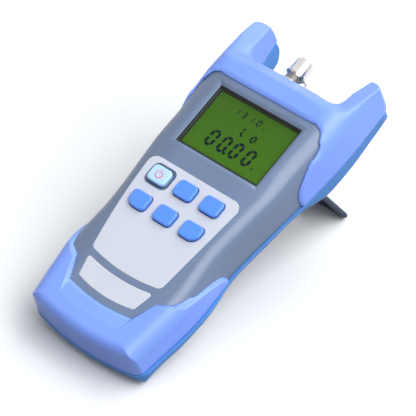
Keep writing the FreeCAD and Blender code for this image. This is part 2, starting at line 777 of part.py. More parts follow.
def finish_rear(outer):
    """Hollow, battery bay, stand recess, horn pockets and screw posts of the rear case."""
    solid = outer
    inner = rear_body(case_wall)
    past = block(-FAR / 2, FAR / 2, yoke_floor - case_wall, FAR * 2, -FAR / 2, FAR / 2)
    hollow = solid.cut(inner.cut(past))
    pocket = horn_pocket(yoke_floor + 2.0, -head_depth + 3.0, 0.0)
    adds = [stand_recess(recess_wall, recess_wall), bay_room(recess_wall)]
    adds.append(cover_plan(1.4, -FAR / 2, -grip_depth + 2 * cover_thick + 0.6).cut(
        bay_room(0.0)))
    for x, y in screw_places:
        post = rod_z(x, y, boss_radius, -FAR / 2, -seam_depth(y))
        adds += [post, mirrored(post)]
    pin_boss = rod_x(stand_pin_y, -stand_pin_depth, stand_pin_radius + 2.2, stand_half + stand_gap,
                     stand_half + stand_gap + 4.0)
    adds += [pin_boss, mirrored(pin_boss)]
    case = fused([hollow] + [a.common(solid) for a in adds])
    cuts = [stand_recess(0.0, 0.0), bay_room(0.0), pocket, mirrored(pocket),
            cover_plan(cover_gap, -FAR / 2, -grip_depth + cover_thick + 0.2),
            rod_x(stand_pin_y, -stand_pin_depth, stand_pin_radius, -stand_half - 3.0, stand_half + 3.0)]
    for x, y in screw_places:
        seat = -seam_depth(y) - screw_seat(y)
        hole = rod_z(x, y, screw_radius + 0.2, -FAR / 2, 0.0)
        head = rod_z(x, y, screw_head_radius + 0.3, -FAR / 2, seat)
        cuts += [hole, mirrored(hole), head, mirrored(head)]
    return case.cut(cuts)


def screw_seat(y):
    """Distance from the parting plane back to the underside of a screw head."""
    return (back_depth(y) - seam_depth(y)) * 0.5


# ---------------------------------------------------------------- display stack
def ring_block(half, low, high, wall, z0, z1):
    outer = block(-half, half, low, high, z0, z1)
    return outer.cut(block(-half + wall, half - wall, low + wall, high - wall, z0 - 1, z1 + 1))


def make_display():
    """Gasket, lens, liquid crystal glass and backlight behind the window."""
    half = window_half - slip
    low, high = window_low + slip, window_high - slip
    lens_low = -lens_top - lens_thick
    seat = lens_low - gasket_wall
    gasket = ring_block(half, low, high, gasket_wall, seat, -window_bevel_depth - 0.4)
    gasket = gasket.fuse(ring_block(half, low, high, gasket_lip, seat, lens_low)).removeSplitter()
    inside = gasket_wall + slip
    lens = block(-half + inside, half - inside, low + inside, high - inside, lens_low, -lens_top)
    glass_half = window_half + lcd_border
    glass_low, glass_high = window_low - lcd_border, window_high + lcd_border
    glass_top = seat
    glass = block(-glass_half, glass_half, glass_low, glass_high, glass_top - lcd_thick, glass_top)
    light = block(-glass_half + 1.0, glass_half - 1.0, glass_low - 1.5, glass_high + 1.0,
                  -board_top, glass_top - lcd_thick)
    light = light.makeFillet(1.0, edges_along(light, Vector(0, 0, 1)))
    return gasket, lens, glass, light


# ---------------------------------------------------------------- keys and electronics
def make_key(name, x, y):
    """Keycap with a retaining flange under the face and a plunger over its dome."""
    under = -case_wall - 0.3
    cap = key_outline(name, x, y, 0.0, under - key_flange_thick, key_proud)
    rim = [e for e in cap.Edges if all(abs(v.Z - key_proud) < 1e-6 for v in e.Vertexes)]
    cap = cap.makeFillet(0.8, rim)
    flange = key_outline(name, x, y, key_flange, under - key_flange_thick, under)
    plunger = rod_z(x, y, 2.0, -board_top + dome_height + key_travel + 0.2, under - key_flange_thick)
    return fused([cap, flange, plunger])


def make_board():
    """Main circuit board, notched round the detector, with screw-post clearances."""
    top = -board_top
    board = block(-board_half, board_half, board_low, board_high, top - board_thick, top)
    cuts = [block(port_x - detector_radius - 1.5, port_x + detector_radius + 1.5, board_high - 14.0, board_high + 1.0,
                  top - 5, top + 5)]
    for x, y in screw_places:
        hole = rod_z(x, y, boss_radius + 0.6, top - 5, top + 5)
        cuts += [hole, mirrored(hole)]
    for x in (-1, 1):
        cuts.append(block(x * 33.0 - 4.5, x * 33.0 + 4.5, board_low - 1, 100.0, top - 5, top + 5))
    board = board.cut(cuts)
    chip = block(-6, 6, 108, 120, top - board_thick - 1.4, top - board_thick)
    crystal = block(12, 16, 110, 121, top - board_thick - 3.2, top - board_thick)
    amplifier = block(-14, -9, 128, 133, top - board_thick - 1.6, top - board_thick)
    return fused([board, chip, crystal, amplifier])


def make_domes():
    """Snap domes on the board, one under each key."""
    domes = []
    for name, x, y in key_places():
        domes.append(rod_z(x, y, dome_radius, -board_top, -board_top + dome_height))
    return Part.makeCompound(domes)


# ---------------------------------------------------------------- optical port and cap
def make_port():
    """Threaded adapter with its inner flange, ring nut, detector holder and photodiode."""
    wall_inside = yoke_floor - guard_thick - case_wall - 0.4
    back = wall_inside - port_flange_thick
    adapter = rod_y(port_x, -port_depth, port_thread_radius, back, port_end)
    adapter = adapter.fuse(rod_y(port_x, -port_depth, port_flange_radius, back, wall_inside))
    lead_in = Part.makeCone(ferrule_radius, ferrule_radius + 0.8, 0.8, Vector(port_x, port_end - 0.8, -port_depth),
                            Vector(0, 1, 0))
    slot = block(port_x - 1.1, port_x + 1.1, port_end - 2.2, port_end + 1.0, -port_depth, -port_depth + 6.0)
    adapter = adapter.cut([rod_y(port_x, -port_depth, ferrule_radius, back - 1, port_end + 1), lead_in, slot])
    adapter = adapter.removeSplitter()
    nut = rod_y(port_x, -port_depth, nut_radius, yoke_floor + tag_thick, nut_top)
    nut = nut.makeFillet(0.35, [e for e in nut.Edges if e.Closed and e.Vertexes[0].Y > nut_top - 1e-6])
    cuts = [rod_y(port_x, -port_depth, port_thread_radius + slip, yoke_floor - 1, nut_top + 1)]
    for turn in range(2):
        notch = block(port_x - 0.8, port_x + 0.8, nut_top - 0.8, nut_top + 1.0, -port_depth - 7.0, -port_depth + 7.0)
        notch.rotate(Vector(port_x, 0, -port_depth), Vector(0, 1, 0), 45 + 90 * turn)
        cuts.append(notch)
    nut = nut.cut(cuts)
    holder = rod_y(port_x, -port_depth, detector_radius, back - detector_length, back)
    holder = holder.cut([rod_y(port_x, -port_depth, diode_radius + slip, back - detector_length - 1, back - 3.0),
                         rod_y(port_x, -port_depth, ferrule_radius, back - 4, back + 1)])
    diode = rod_y(port_x, -port_depth, diode_radius, back - 3.2 - diode_length, back - 3.2)
    legs = [rod_y(port_x + dx, -port_depth, 0.3, back - diode_length - 9.0, back - diode_length - 3.2)
            for dx in (-1.3, 1.3)]
    diode = fused([diode] + legs)
    return adapter, nut, holder, diode


def make_tag():
    """Washer under the nut whose ear holds the end of the ball chain."""
    disc = rod_y(port_x, -port_depth, nut_radius - 0.2, yoke_floor, yoke_floor + tag_thick)
    ear = block(port_x, port_x + tag_reach, yoke_floor, yoke_floor + tag_thick, -port_depth - 1.5, -port_depth + 1.5)
    tip = rod_y(port_x + tag_reach, -port_depth, 1.5, yoke_floor, yoke_floor + tag_thick)
    tag = fused([disc, ear, tip])
    return tag.cut([rod_y(port_x, -port_depth, port_thread_radius + slip, yoke_floor - 1, yoke_floor + 2),
                    rod_y(port_x + tag_reach, -port_depth, 0.7, yoke_floor - 1, yoke_floor + 2)])


def make_cap():
    """Screw-on dust cap with a groove for the chain's ring."""
    high = cap_low + cap_length
    cap = rod_y(port_x, -port_depth, cap_radius, cap_low, high)
    cap = cap.makeChamfer(0.5, [e for e in cap.Edges if e.Closed and e.Vertexes[0].Y > high - 1e-6])
    cap = cap.fuse(rod_y(port_x, -port_depth, cap_boss_radius, high - 0.2, high + cap_boss)).removeSplitter()
    groove_low = cap_low + cap_groove_up
    groove = rod_y(port_x, -port_depth, cap_radius + 1, groove_low, groove_low + cap_groove_width).cut(
        rod_y(port_x, -port_depth, cap_radius - cap_groove_depth, groove_low - 1, groove_low + 3))
    bore = rod_y(port_x, -port_depth, port_thread_radius + slip, cap_low - 1, high - cap_end)
    return cap.cut([groove, bore])


def ring_middle():
    return cap_low + cap_groove_up + cap_groove_width / 2


def ring_outside():
    return cap_radius - cap_groove_depth + 0.1 + ring_width


def make_cap_ring():
    """Loose ring in the cap's groove, where the chain is clipped on."""
    middle = ring_middle()
    y0, y1 = middle - ring_thick / 2, middle + ring_thick / 2
    ring = rod_y(port_x, -port_depth, ring_outside(), y0, y1)
    return ring.cut(rod_y(port_x, -port_depth, ring_outside() - ring_width, y0 - 1, y1 + 1))


def chain_corners(lean):
    """Corners of the hanging chain: off the ring, over the yoke floor, down behind it and back to the tag."""
    turn = math.radians(-35.0)
    reach = ring_outside() + bead_radius + chain_gap
    down = Vector(0, -math.sin(lean), -math.cos(lean))
    rest_y = yoke_floor + tag_thick + bead_radius + chain_gap
    edge_z = -back_depth(yoke_floor) - 0.4
    first = Vector(port_x + reach * math.cos(turn), ring_middle(), -port_depth + reach * math.sin(turn))
    landing = first + down * ((first.y - rest_y) / math.sin(lean))
    last = Vector(port_x + tag_reach, rest_y, -port_depth)
    left = [first, landing, Vector(first.x, rest_y, edge_z), Vector(first.x, rest_y, edge_z) + down * chain_drop]
    right = [last, Vector(last.x, rest_y, edge_z), Vector(last.x, rest_y, edge_z) + down * chain_drop]
    radius = (last.x - first.x) / 2
    loop = []
    for step in range(1, 6):
        swing = math.pi * step / 6
        middle = (left[-1] + right[-1]) * 0.5
        loop.append(middle + Vector(-radius * math.cos(swing), 0, 0) + down * (radius * math.sin(swing)))
    return left + loop + right[::-1]


def chain_route(lean):
    """Bead centres, evenly spaced along the hanging chain."""
    corners = chain_corners(lean)
    runs = [b.sub(a).Length for a, b in zip(corners, corners[1:])]
    count = int(sum(runs) / bead_pitch) + 1
    beads = []
    for number in range(count):
        left = sum(runs) * number / (count - 1)
        for a, b, run in zip(corners, corners[1:], runs):
            if left <= run + 1e-9:
                beads.append(a + (b.sub(a)) * (left / run))
                break
            left -= run
    return beads


def make_chain(lean):
    """Ball chain: beads with the short links between them."""
    beads = chain_route(lean)
    solids = []
    for a, b in zip(beads, beads[1:] + [beads[-1] * 2 - beads[-2]]):
        run = b.sub(a).normalize()
        solids.append(Part.makeSphere(bead_radius, a, run, -75, 75, 360))
    for a, b in zip(beads, beads[1:]):
        run = b.sub(a)
        start = a + run.normalize() * (bead_radius + 0.02)
        length = b.sub(a).Length - 2 * bead_radius - 0.04
        solids.append(Part.makeCylinder(link_radius, length, start, b.sub(a)))
    return Part.makeCompound(solids)


# ---------------------------------------------------------------- stand
def make_stand():
    """Stand at its open stop: a ribbed plate with a knuckle on the hinge pin."""
    half = stand_half
    plate = block(-half, half, -stand_thick / 2, stand_thick / 2, -stand_length, 0)
    bottom = [e for e in edges_along(plate, Vector(0, 1, 0)) if e.Vertexes[0].Z < -1]
    plate = plate.makeFillet(5.0, bottom)
    sole = [e for e in plate.Edges if all(v.Z < -stand_length + 1e-6 for v in e.Vertexes)]
    plate = plate.makeFillet(stand_thick / 2 - 0.05, sole)
    dish = block(-half + 4.0, half - 4.0, -stand_thick, -stand_thick / 2 + 1.2, -stand_length + 7.0, -8.0)
    dish = dish.makeFillet(2.5, edges_along(dish, Vector(0, 1, 0)))
    window = block(-9.0, 9.0, -5, 5, -stand_length + 16.0, -stand_length + 24.0)
    window = window.makeFillet(3.9, edges_along(window, Vector(0, 1, 0)))
    knuckle = rod_x(0, 0, stand_knuckle, -half, half)
    ribs = [block(x - 0.75, x + 0.75, -stand_thick / 2, 0, -stand_length + 28.0, -7.0) for x in (-11.0, 0.0, 11.0)]
    stand = fused([plate.cut([dish, window]), knuckle] + ribs)
    stand = stand.cut(rod_x(0, 0, stand_pin_radius + slip, -half - 1, half + 1))
    stand.rotate(Vector(0, 0, 0), Vector(1, 0, 0), stand_open_past)
    stand.translate(Vector(0, stand_pin_y, -stand_pin_depth))
    return stand


def stand_foot():
    """Centre of the rounding at the foot of the open stand."""
    lean = math.radians(stand_open_past)
    reach = stand_length - stand_thick / 2
    return Vector(0, stand_pin_y + reach * math.sin(lean), -stand_pin_depth - reach * math.cos(lean))


def lean_angle():
    """Angle at which the bottom rounding and the stand's foot touch one floor."""
    heel = Vector(0, rear_end + grip_back_round, -grip_depth + grip_back_round)
    run = stand_foot().sub(heel)
    slope = math.atan2(-run.z, run.y)
    return slope - math.asin((grip_back_round - stand_thick / 2) / run.Length)


# ---------------------------------------------------------------- batteries
def cell_x(number):
    return (number - (cell_count - 1) / 2) * cell_pitch


def make_cell(number):
    """Cylindrical cell with its button end; neighbours lie head to tail."""
    x = cell_x(number)
    body = rod_y(x, -cell_depth, cell_radius, cell_low, cell_high - 1.0)
    body = body.fuse(rod_y(x, -cell_depth, 1.9, cell_high - 1.0, cell_high)).removeSplitter()
    if number % 2:
        body.rotate(Vector(x, (cell_low + cell_high) / 2, -cell_depth), Vector(0, 0, 1), 180)
    return body


def make_contacts():
    """Flat contact plates against the two ends of the bay, and the coil springs on them."""
    plates, springs = [], []
    for number in range(cell_count):
        x = cell_x(number)
        z0, z1 = -cell_depth - 4.2, -cell_depth + 4.2
        plates.append(block(x - 4.4, x + 4.4, bay_low, bay_low + contact_thick, z0, z1))
        plates.append(block(x - 4.4, x + 4.4, bay_high - contact_thick, bay_high, z0, z1))
        turns = 3
        if number % 2:
            base, way, length = bay_low + contact_thick, 1, 1.0
        else:
            base, way, length = bay_high - contact_thick, -1, spring_length - contact_thick
        coils = []
        for turn in range(turns):
            radius = 3.6 - 0.7 * turn
            middle = base + way * length * (turn + 0.5) / turns
            thick = length / turns
            outer = rod_y(x, -cell_depth, radius, middle - thick / 2, middle + thick / 2)
            coils.append(outer)
        spring = fused(coils).cut(rod_y(x, -cell_depth, 1.4, base - 10, base + 10))
        springs.append(spring)
    return Part.makeCompound(plates), Part.makeCompound(springs)


def make_cover():
    """Battery cover that carries on the curve of the back."""
    outer = rear_body(0.0)
    plan = cover_plan(0.0, -FAR / 2, -grip_depth + cover_thick)
    cover = outer.common(plan)
    grips = []
    for number in range(4):
        y = cover_low + 6.0 + 2.4 * number
        grips.append(block(-8.0, 8.0, y, y + 1.2, -FAR / 2, -grip_depth + 0.6))
    return cover.cut(grips)


def make_screws():
    """Case screws, driven from the back."""
    screws = []
    for x, y in screw_places:
        seat = -seam_depth(y) - screw_seat(y)
        shank = rod_z(x, y, screw_radius - 0.15, seat, seat + screw_length)
        head = rod_z(x, y, screw_head_radius, seat - screw_head, seat)
        slot_a = block(x - 1.5, x + 1.5, y - 0.3, y + 0.3, seat - screw_head - 1, seat - screw_head + 0.8)
        slot_b = block(x - 0.3, x + 0.3, y - 1.5, y + 1.5, seat - screw_head - 1, seat - screw_head + 0.8)
        screw = fused([shank, head]).cut([slot_a, slot_b])
        screws += [screw, mirrored(screw)]
    return Part.makeCompound(screws)


# ---------------------------------------------------------------- assembly
def build():
    """Every node in the lying frame."""
    nodes = {}
    front, upper, lower, rear = make_shells()
    nodes["front_case"] = finish_front(front)
    nodes["upper_guard"] = upper
    nodes["lower_guard"] = lower
    nodes["rear_case"] = finish_rear(rear)

    panel = panel_outline(-panel_sink, panel_surface, slip)
    holes = [key_outline(n, x, y, key_gap, -5, 5) for n, x, y in key_places()[1:]]
    power_x = key_places()[0][1]
    holes.append(rounded_block(power_x, key_rows[0], power_ring_width, power_ring_height, power_ring_corner, -5, 5))
    nodes["key_panel"] = panel.cut(holes)
    nodes["label_plate"] = label_outline(-panel_sink, panel_surface, slip)

    gasket, lens, glass, light = make_display()
    nodes["window_gasket"] = gasket
    nodes["window_lens"] = lens
    nodes["lcd_glass"] = glass
    nodes["lcd_backlight"] = light
    for name, x, y in key_places():
        nodes[name] = make_key(name, x, y)
    nodes["main_board"] = make_board()
    nodes["switch_domes"] = make_domes()

    adapter, nut, holder, diode = make_port()
    nodes["port_adapter"] = adapter
    nodes["port_nut"] = nut
    nodes["detector_holder"] = holder
    nodes["photodiode"] = diode
    nodes["chain_tag"] = make_tag()
    nodes["dust_cap"] = make_cap()
    nodes["cap_ring"] = make_cap_ring()
    nodes["ball_chain"] = make_chain(lean_angle())

    nodes["stand"] = make_stand()
    nodes["stand_pin"] = rod_x(stand_pin_y, -stand_pin_depth, stand_pin_radius, -stand_half - 3.0, stand_half + 3.0)
    for number in range(cell_count):
        nodes["battery_cell_%d" % (number + 1)] = make_cell(number)
    plates, springs = make_contacts()
    nodes["contact_plates"] = plates
    nodes["contact_springs"] = springs
    nodes["battery_cover"] = make_cover()
    nodes["case_screws"] = make_screws()
    return nodes


def standing(nodes):
    """Placement that leans the lying model back onto its stand, floor at z = 0."""
    turn = FreeCAD.Placement(Vector(0, 0, 0), FreeCAD.Rotation(Vector(1, 0, 0), math.degrees(lean_angle())))
    box = FreeCAD.BoundBox()
    for name in ("front_case", "upper_guard", "lower_guard", "rear_case", "stand"):
        shape = nodes[name].copy()
        shape.Placement = turn.multiply(shape.Placement)
        box.add(shape.optimalBoundingBox(False))
    shift = Vector(0, -(box.YMin + box.YMax) / 2, -box.ZMin)
    return FreeCAD.Placement(shift, FreeCAD.Rotation()).multiply(turn)


def main():
    nodes = build()
    place = standing(nodes)
    os.makedirs("parts", exist_ok=True)
    for name, shape in nodes.items():
        shape.Placement = place.multiply(shape.Placement)
        shape.exportStep(os.path.join("parts", name + ".step"))
        print("%-18s solids %d valid %s volume %.0f" % (name, len(shape.Solids), shape.isValid(), shape.Volume))
    return nodes, place


if __name__ == "__main__":
    main()
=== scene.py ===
"""Hand-held optical power meter: finishes, soft guards, ball chain, display figures and studio.

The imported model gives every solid.  This file gives each of them its finish, redraws the upper
guard and the chain, adds the display's figures and the power mark, and sets the meter on a plain
floor in soft light.  It is laid out as an add-on: sizes and colours are scene properties, and each
piece has its own operator.
"""
import json
import math

import bmesh
import bpy
from bpy.props import FloatProperty, FloatVectorProperty, IntProperty, PointerProperty
from bpy.types import Operator, Panel, PropertyGroup
from mathutils import Matrix, Quaternion, Vector


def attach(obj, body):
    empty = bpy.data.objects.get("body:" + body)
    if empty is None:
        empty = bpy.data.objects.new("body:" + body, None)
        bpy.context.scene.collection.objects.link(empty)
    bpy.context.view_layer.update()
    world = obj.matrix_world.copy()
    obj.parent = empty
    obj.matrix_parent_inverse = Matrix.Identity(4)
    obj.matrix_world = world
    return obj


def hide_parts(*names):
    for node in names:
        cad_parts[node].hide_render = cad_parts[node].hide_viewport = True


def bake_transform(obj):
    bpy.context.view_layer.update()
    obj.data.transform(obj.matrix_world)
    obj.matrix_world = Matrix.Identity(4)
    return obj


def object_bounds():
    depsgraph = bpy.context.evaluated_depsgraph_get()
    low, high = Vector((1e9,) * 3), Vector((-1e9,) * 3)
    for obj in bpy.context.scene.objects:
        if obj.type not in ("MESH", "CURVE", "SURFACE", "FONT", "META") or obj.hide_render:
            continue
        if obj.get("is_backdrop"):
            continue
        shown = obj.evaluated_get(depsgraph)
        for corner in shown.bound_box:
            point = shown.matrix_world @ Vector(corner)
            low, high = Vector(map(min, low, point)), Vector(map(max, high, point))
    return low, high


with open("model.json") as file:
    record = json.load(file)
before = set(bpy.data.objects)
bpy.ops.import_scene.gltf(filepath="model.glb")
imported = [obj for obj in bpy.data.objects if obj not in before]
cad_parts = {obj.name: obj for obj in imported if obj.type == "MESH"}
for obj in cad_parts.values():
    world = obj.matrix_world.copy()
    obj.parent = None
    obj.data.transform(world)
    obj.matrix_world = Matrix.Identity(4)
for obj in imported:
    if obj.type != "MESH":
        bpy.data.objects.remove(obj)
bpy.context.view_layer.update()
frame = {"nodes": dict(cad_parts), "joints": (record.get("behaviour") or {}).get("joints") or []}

bl_info = {
    "name": "Optical power meter",
    "version": (1, 0, 0),
    "blender": (4, 5, 0),
    "location": "3D View > Sidebar > Meter",
    "description": "Finishes, soft guards, chain, display and studio of a fibre power meter",
    "category": "Object",
}

JOINTS = {joint["name"]: joint for joint in frame["joints"]}

# The keys travel straight into the face, so their axis gives the way the meter leans back.
PRESS = Vector(JOINTS["zero_press"]["axis"])
LEAN = math.atan2(PRESS.y, -PRESS.z)
TURN = Matrix.Rotation(LEAN, 4, "X")


def level_box(node):
    """Corners of a CAD node with the lean taken out: X across, Y up the body, Z out of the face."""
    points = [TURN.inverted() @ vertex.co for vertex in frame["nodes"][node].data.vertices]
    low = Vector([min(point[i] for point in points) for i in range(3)])
    high = Vector([max(point[i] for point in points) for i in range(3)])
    return low, high


def level_middle(node):
    """Middle of a CAD node's level box."""
    low, high = level_box(node)
    return (low + high) / 2


WINDOW = level_middle("window_gasket")
GLASS_LOW, GLASS_HIGH = level_box("lcd_glass")
FACE = level_box("label_plate")[1].z

# Level points on the upper guard: where a horn runs into the yoke, and where a finger leaves the
# window rim, on either side and a little behind the face.
HORN_ROOTS = ((0.0295, 0.084, FACE - 0.003), (-0.0295, 0.084, FACE - 0.003))
RIM_STEPS = ((0.0345, 0.0645, FACE - 0.001), (-0.0345, 0.0645, FACE - 0.001))
STEP_REACH = 0.008
NESTED = (1.0, 0.8, 0.6)        # shares of the reach, so that a root is rounded most at its middle

WELD = 1e-6                     # points of a CAD skin closer than this are one
FINE_WELD = 1e-7                # the same for pieces drawn here

# Layout of the display.  X is measured from the middle of the meter, and heights from the middle
# of the window.
READING = "0000"
READING_LEFTS = (-0.0141, -0.0067, 0.0003, 0.0080)
READING_LOW = -0.0112
POINT_X = -0.0013
WAVELENGTH = "1310"
WAVELENGTH_MIDDLES = (-0.0121, -0.0077, -0.00325, 0.0012)
WAVELENGTH_LOW = 0.0085
# Small figures: glyph, left, low, width, height, stroke.
SMALL_FIGURES = (("L", -0.0025, 0.0004, 0.0029, 0.0055, 0.0010),
                 ("o", 0.0036, 0.0001, 0.0031, 0.0074, 0.0010),
                 ("n", 0.0044, WAVELENGTH_LOW, 0.0011, 0.0021, 0.00035),
                 ("d", 0.0150, READING_LOW, 0.0011, 0.0021, 0.00035))
SEGMENTS = {"0": "abcdef", "1": "bc", "3": "abcdg",
            "L": "def", "o": "cdeg", "n": "ceg", "d": "bcdeg"}
SEGMENT_GAP = 0.12              # gap at each end of a segment, as a share of its stroke

MARK_STEPS = 40
MARK_BAR = (0.15, 1.3)          # ends of the power mark's bar, in radii from its centre

# Soft lights: name, place, width, and the property that holds the power.
LAMPS = (("horn_softbox", (0.45, 0.95, 1.45), 1.5, "soft"),
         ("side_softbox", (1.0, -0.12, 1.25), 1.15, "side"),
         ("fill_softbox", (-1.1, -0.9, 1.0), 1.2, "fill"))
FLOOR_RADIUS = 4.0
FLOOR_GAP = 0.0002
FLOOR_FADE = (0.35, 0.9)        # distances from the meter between which the floor fades out
SENSOR_WIDTH = 36.0
AIM = (0.01307, WINDOW.y - 0.0374, FACE - 0.0001)    # level point that the camera looks at

WHITE = (1.0, 1.0, 1.0, 1.0)
BEVEL_SAMPLES = 6


# ---------------------------------------------------------------- sizes and colours

def length(name, text, default):
    return FloatProperty(name=name, description=text, default=default, min=0.0, unit="LENGTH",
                         precision=5)


def angle(name, text, degrees):
    return FloatProperty(name=name, description=text, default=math.radians(degrees),
                         unit="ROTATION")


def power(name, text, default):
    return FloatProperty(name=name, description=text, default=default, unit="POWER")


def count(name, text, default):
    return IntProperty(name=name, description=text, default=default, min=0)


def colour(name, text, default):
    return FloatVectorProperty(name=name, description=text, default=default, size=3, min=0.0,
                               max=1.0, subtype="COLOR_GAMMA")


class MeterColours(PropertyGroup):
    guard: colour("Guard", "Soft blue guards round the ends", (0.475, 0.61, 0.97))
    rear: colour("Rear case", "Blue rear case below the parting line", (0.30, 0.52, 0.80))
    case: colour("Case", "Grey front case", (0.40, 0.47, 0.59))
    film: colour("Film", "Silver key panel and label plate", (0.79, 0.81, 0.865))
    key: colour("Keys", "Silicone keys", (0.31, 0.54, 0.94))
    power_key: colour("Power key", "Pale silicone power key", (0.68, 0.82, 1.0))
    power_mark: colour("Power mark", "Printed mark on the power key", (0.92, 0.16, 0.12))
    gasket: colour("Gasket", "Dark surround of the window", (0.10, 0.08, 0.08))
    display: colour("Display", "Unlit display behind the lens", (0.27, 0.42, 0.07))
    figure: colour("Figures", "Switched-on display segments", (0.03, 0.08, 0.12))
    nickel: colour("Nickel", "Plating of the port and the chain", (0.82, 0.81, 0.79))
    cap: colour("Dust cap", "Turned aluminium cap", (0.87, 0.865, 0.86))


class GuardSizes(PropertyGroup):
    cell: length("Cell", "Size of the cells that the upper guard is drawn in", 0.00045)
    reach: length("Reach", "How far from a horn's root the rounding is felt", 0.013)
    passes: count("Passes", "Rounding passes at the root of each horn", 40)
    step_passes: count("Step passes", "Rounding passes where a finger leaves the window rim", 110)
    rim_passes: count("Rim passes", "Rounding passes along every rim", 2)


class DisplaySizes(PropertyGroup):
    tall: length("Reading height", "Height of the large reading", 0.0093)
    wide: length("Reading width", "Width of one large figure", 0.0050)
    bar: length("Reading stroke", "Stroke of the large figures", 0.00150)
    slant: angle("Slant", "Lean of the figures to the right", 6.0)
    small_tall: length("Wavelength height", "Height of the wavelength figures", 0.0038)
    small_wide: length("Wavelength width", "Width of one wavelength figure", 0.0026)
    small_bar: length("Wavelength stroke", "Stroke of the wavelength figures", 0.00085)
    relief: length("Segment thickness", "How far a segment stands on the glass", 0.00004)


class MarkSizes(PropertyGroup):
    radius: length("Mark radius", "Radius of the printed power mark", 0.00185)
    stroke: length("Mark stroke", "Stroke of the printed power mark", 0.00042)
    gap: angle("Mark gap", "Opening at the top of the power mark", 66)
    ink: length("Ink", "Thickness of the ink", 0.00003)


class StudioSizes(PropertyGroup):
    azimuth: angle("Azimuth", "Turn of the camera round the meter", 41.37)
    elevation: angle("Elevation", "Height of the camera as an angle", 39.60)
    roll: angle("Roll", "Tilt of the camera about its own axis", 1.79)
    distance: length("Camera distance", "From the camera to the face of the meter", 1.0291)
    focal: FloatProperty(name="Focal length", description="Focal length on a 36 mm sensor",
                         default=199.04, unit="CAMERA")
    floor: colour("Floor", "Plain pale floor", (0.90, 0.91, 0.92))
    floor_bounce: FloatProperty(name="Bounce", description="Share of light the floor throws back",
                                default=0.16, min=0.0, max=1.0, subtype="FACTOR")
    sky: FloatProperty(name="Surround", description="Strength of the white surround", default=0.36)
    soft: power("Soft light", "Power of the large light over the horns", 21.0)
    side: power("Side light", "Power of the light on the right", 23.0)
    fill: power("Fill light", "Power of the weak light on the left", 3.0)


# ---------------------------------------------------------------- node maths

class Value:
    """A socket that can be used in sums of numbers."""

    def __init__(self, tree, socket):
        self.tree = tree
        self.socket = socket

    def sum(self, operation, other=0.0):
        return self.tree.node("ShaderNodeMath", {"operation": operation}, {0: self, 1: other})

    def __add__(self, other):
        return self.sum("ADD", other)

    def __sub__(self, other):
        return self.sum("SUBTRACT", other)

    def __mul__(self, other):
        return self.sum("MULTIPLY", other)

    def __abs__(self):
        return self.sum("ABSOLUTE")


class Tree:
    """The nodes of a material or a world, under construction."""

    def __init__(self, owner):
        owner.use_nodes = True
        self.nodes = owner.node_tree.nodes
        self.links = owner.node_tree.links
        self.nodes.clear()

    def node(self, kind, settings=None, inputs=None, out=0):
        """Adds a node, with plain values set on its inputs and other nodes' values linked to them."""
        made = self.nodes.new(kind)
        for name, value in (settings or {}).items():
            setattr(made, name, value)
        for name, value in (inputs or {}).items():
            if isinstance(value, Value):
                self.links.new(value.socket, made.inputs[name])
            else:
                made.inputs[name].default_value = value
        return Value(self, made.outputs[out])

    def outputs(self, value, *names):
        """Named outputs of the node that a value comes from."""
        return [Value(self, value.socket.node.outputs[name]) for name in names]

    def larger(self, first, second):
        return self.node("ShaderNodeMath", {"operation": "MAXIMUM"}, {0: first, 1: second})


class Finish(Tree):
    """A material under construction."""

    def __init__(self, name):
        self.material = bpy.data.materials.new(name)
        super().__init__(self.material)
        self.output = self.nodes.new("ShaderNodeOutputMaterial")

    def place(self, turn=0.0, centre=(0.0, 0.0, 0.0), scale=(1.0, 1.0, 1.0)):
        """Object coordinates with a lean taken out, measured from a centre."""
        spot = self.node("ShaderNodeTexCoord", out="Object")
        level = self.node("ShaderNodeVectorRotate", {"rotation_type": "X_AXIS"},
                          {"Vector": spot, "Angle": -turn})
        moved = self.node("ShaderNodeVectorMath", {"operation": "SUBTRACT"}, {0: level, 1: centre})
        return self.node("ShaderNodeVectorMath", {"operation": "MULTIPLY"}, {0: moved, 1: scale})

    def axes(self, spot):
        """The three numbers of a place: across, up the body and out of the face."""
        return self.outputs(self.node("ShaderNodeSeparateXYZ", None, {0: spot}), "X", "Y", "Z")

    def noise(self, spot, scale, detail=2.0, roughness=0.5):
        return self.node("ShaderNodeTexNoise", None,
                         {"Vector": spot, "Scale": scale, "Detail": detail, "Roughness": roughness})

    def between(self, value, low, high, to_low=0.0, to_high=1.0, curve="LINEAR"):
        return self.node("ShaderNodeMapRange", {"clamp": True, "interpolation_type": curve},
                         {"Value": value, "From Min": low, "From Max": high,
                          "To Min": to_low, "To Max": to_high})

    def spread(self, noise, low, high):
        """Noise spread over a range; most of a noise lies between 0.3 and 0.7."""
        return self.between(noise, 0.3, 0.7, low, high)

    def mix(self, share, first, second):
        return self.node("ShaderNodeMix", {"data_type": "RGBA"}, {0: share, 6: first, 7: second},
                         out=2)

    def softened(self, radius):
        """Normals that run round an edge, as a moulded corner does, and how near an edge is."""
        round_normal = self.node("ShaderNodeBevel", {"samples": BEVEL_SAMPLES}, {"Radius": radius})
        flat = self.node("ShaderNodeNewGeometry", out="Normal")
        facing = self.node("ShaderNodeVectorMath", {"operation": "DOT_PRODUCT"},
                           {0: round_normal, 1: flat}, out="Value")
        return round_normal, self.between(facing, 0.999, 0.80)

    def bump(self, height, depth, strength, normal=None):
        inputs = {"Height": height, "Distance": depth, "Strength": strength}
        if normal is not None:
            inputs["Normal"] = normal
        return self.node("ShaderNodeBump", None, inputs)

    def shader(self, inputs):
        return self.node("ShaderNodeBsdfPrincipled", None, inputs)

    def surface(self, shader):
        self.links.new(shader.socket, self.output.inputs["Surface"])
        return self.material


def linear(rgb):
    """Display colour to the linear light that a shader works in."""
    return [c / 12.92 if c <= 0.04045 else ((c + 0.055) / 1.055) ** 2.4 for c in rgb] + [1.0]


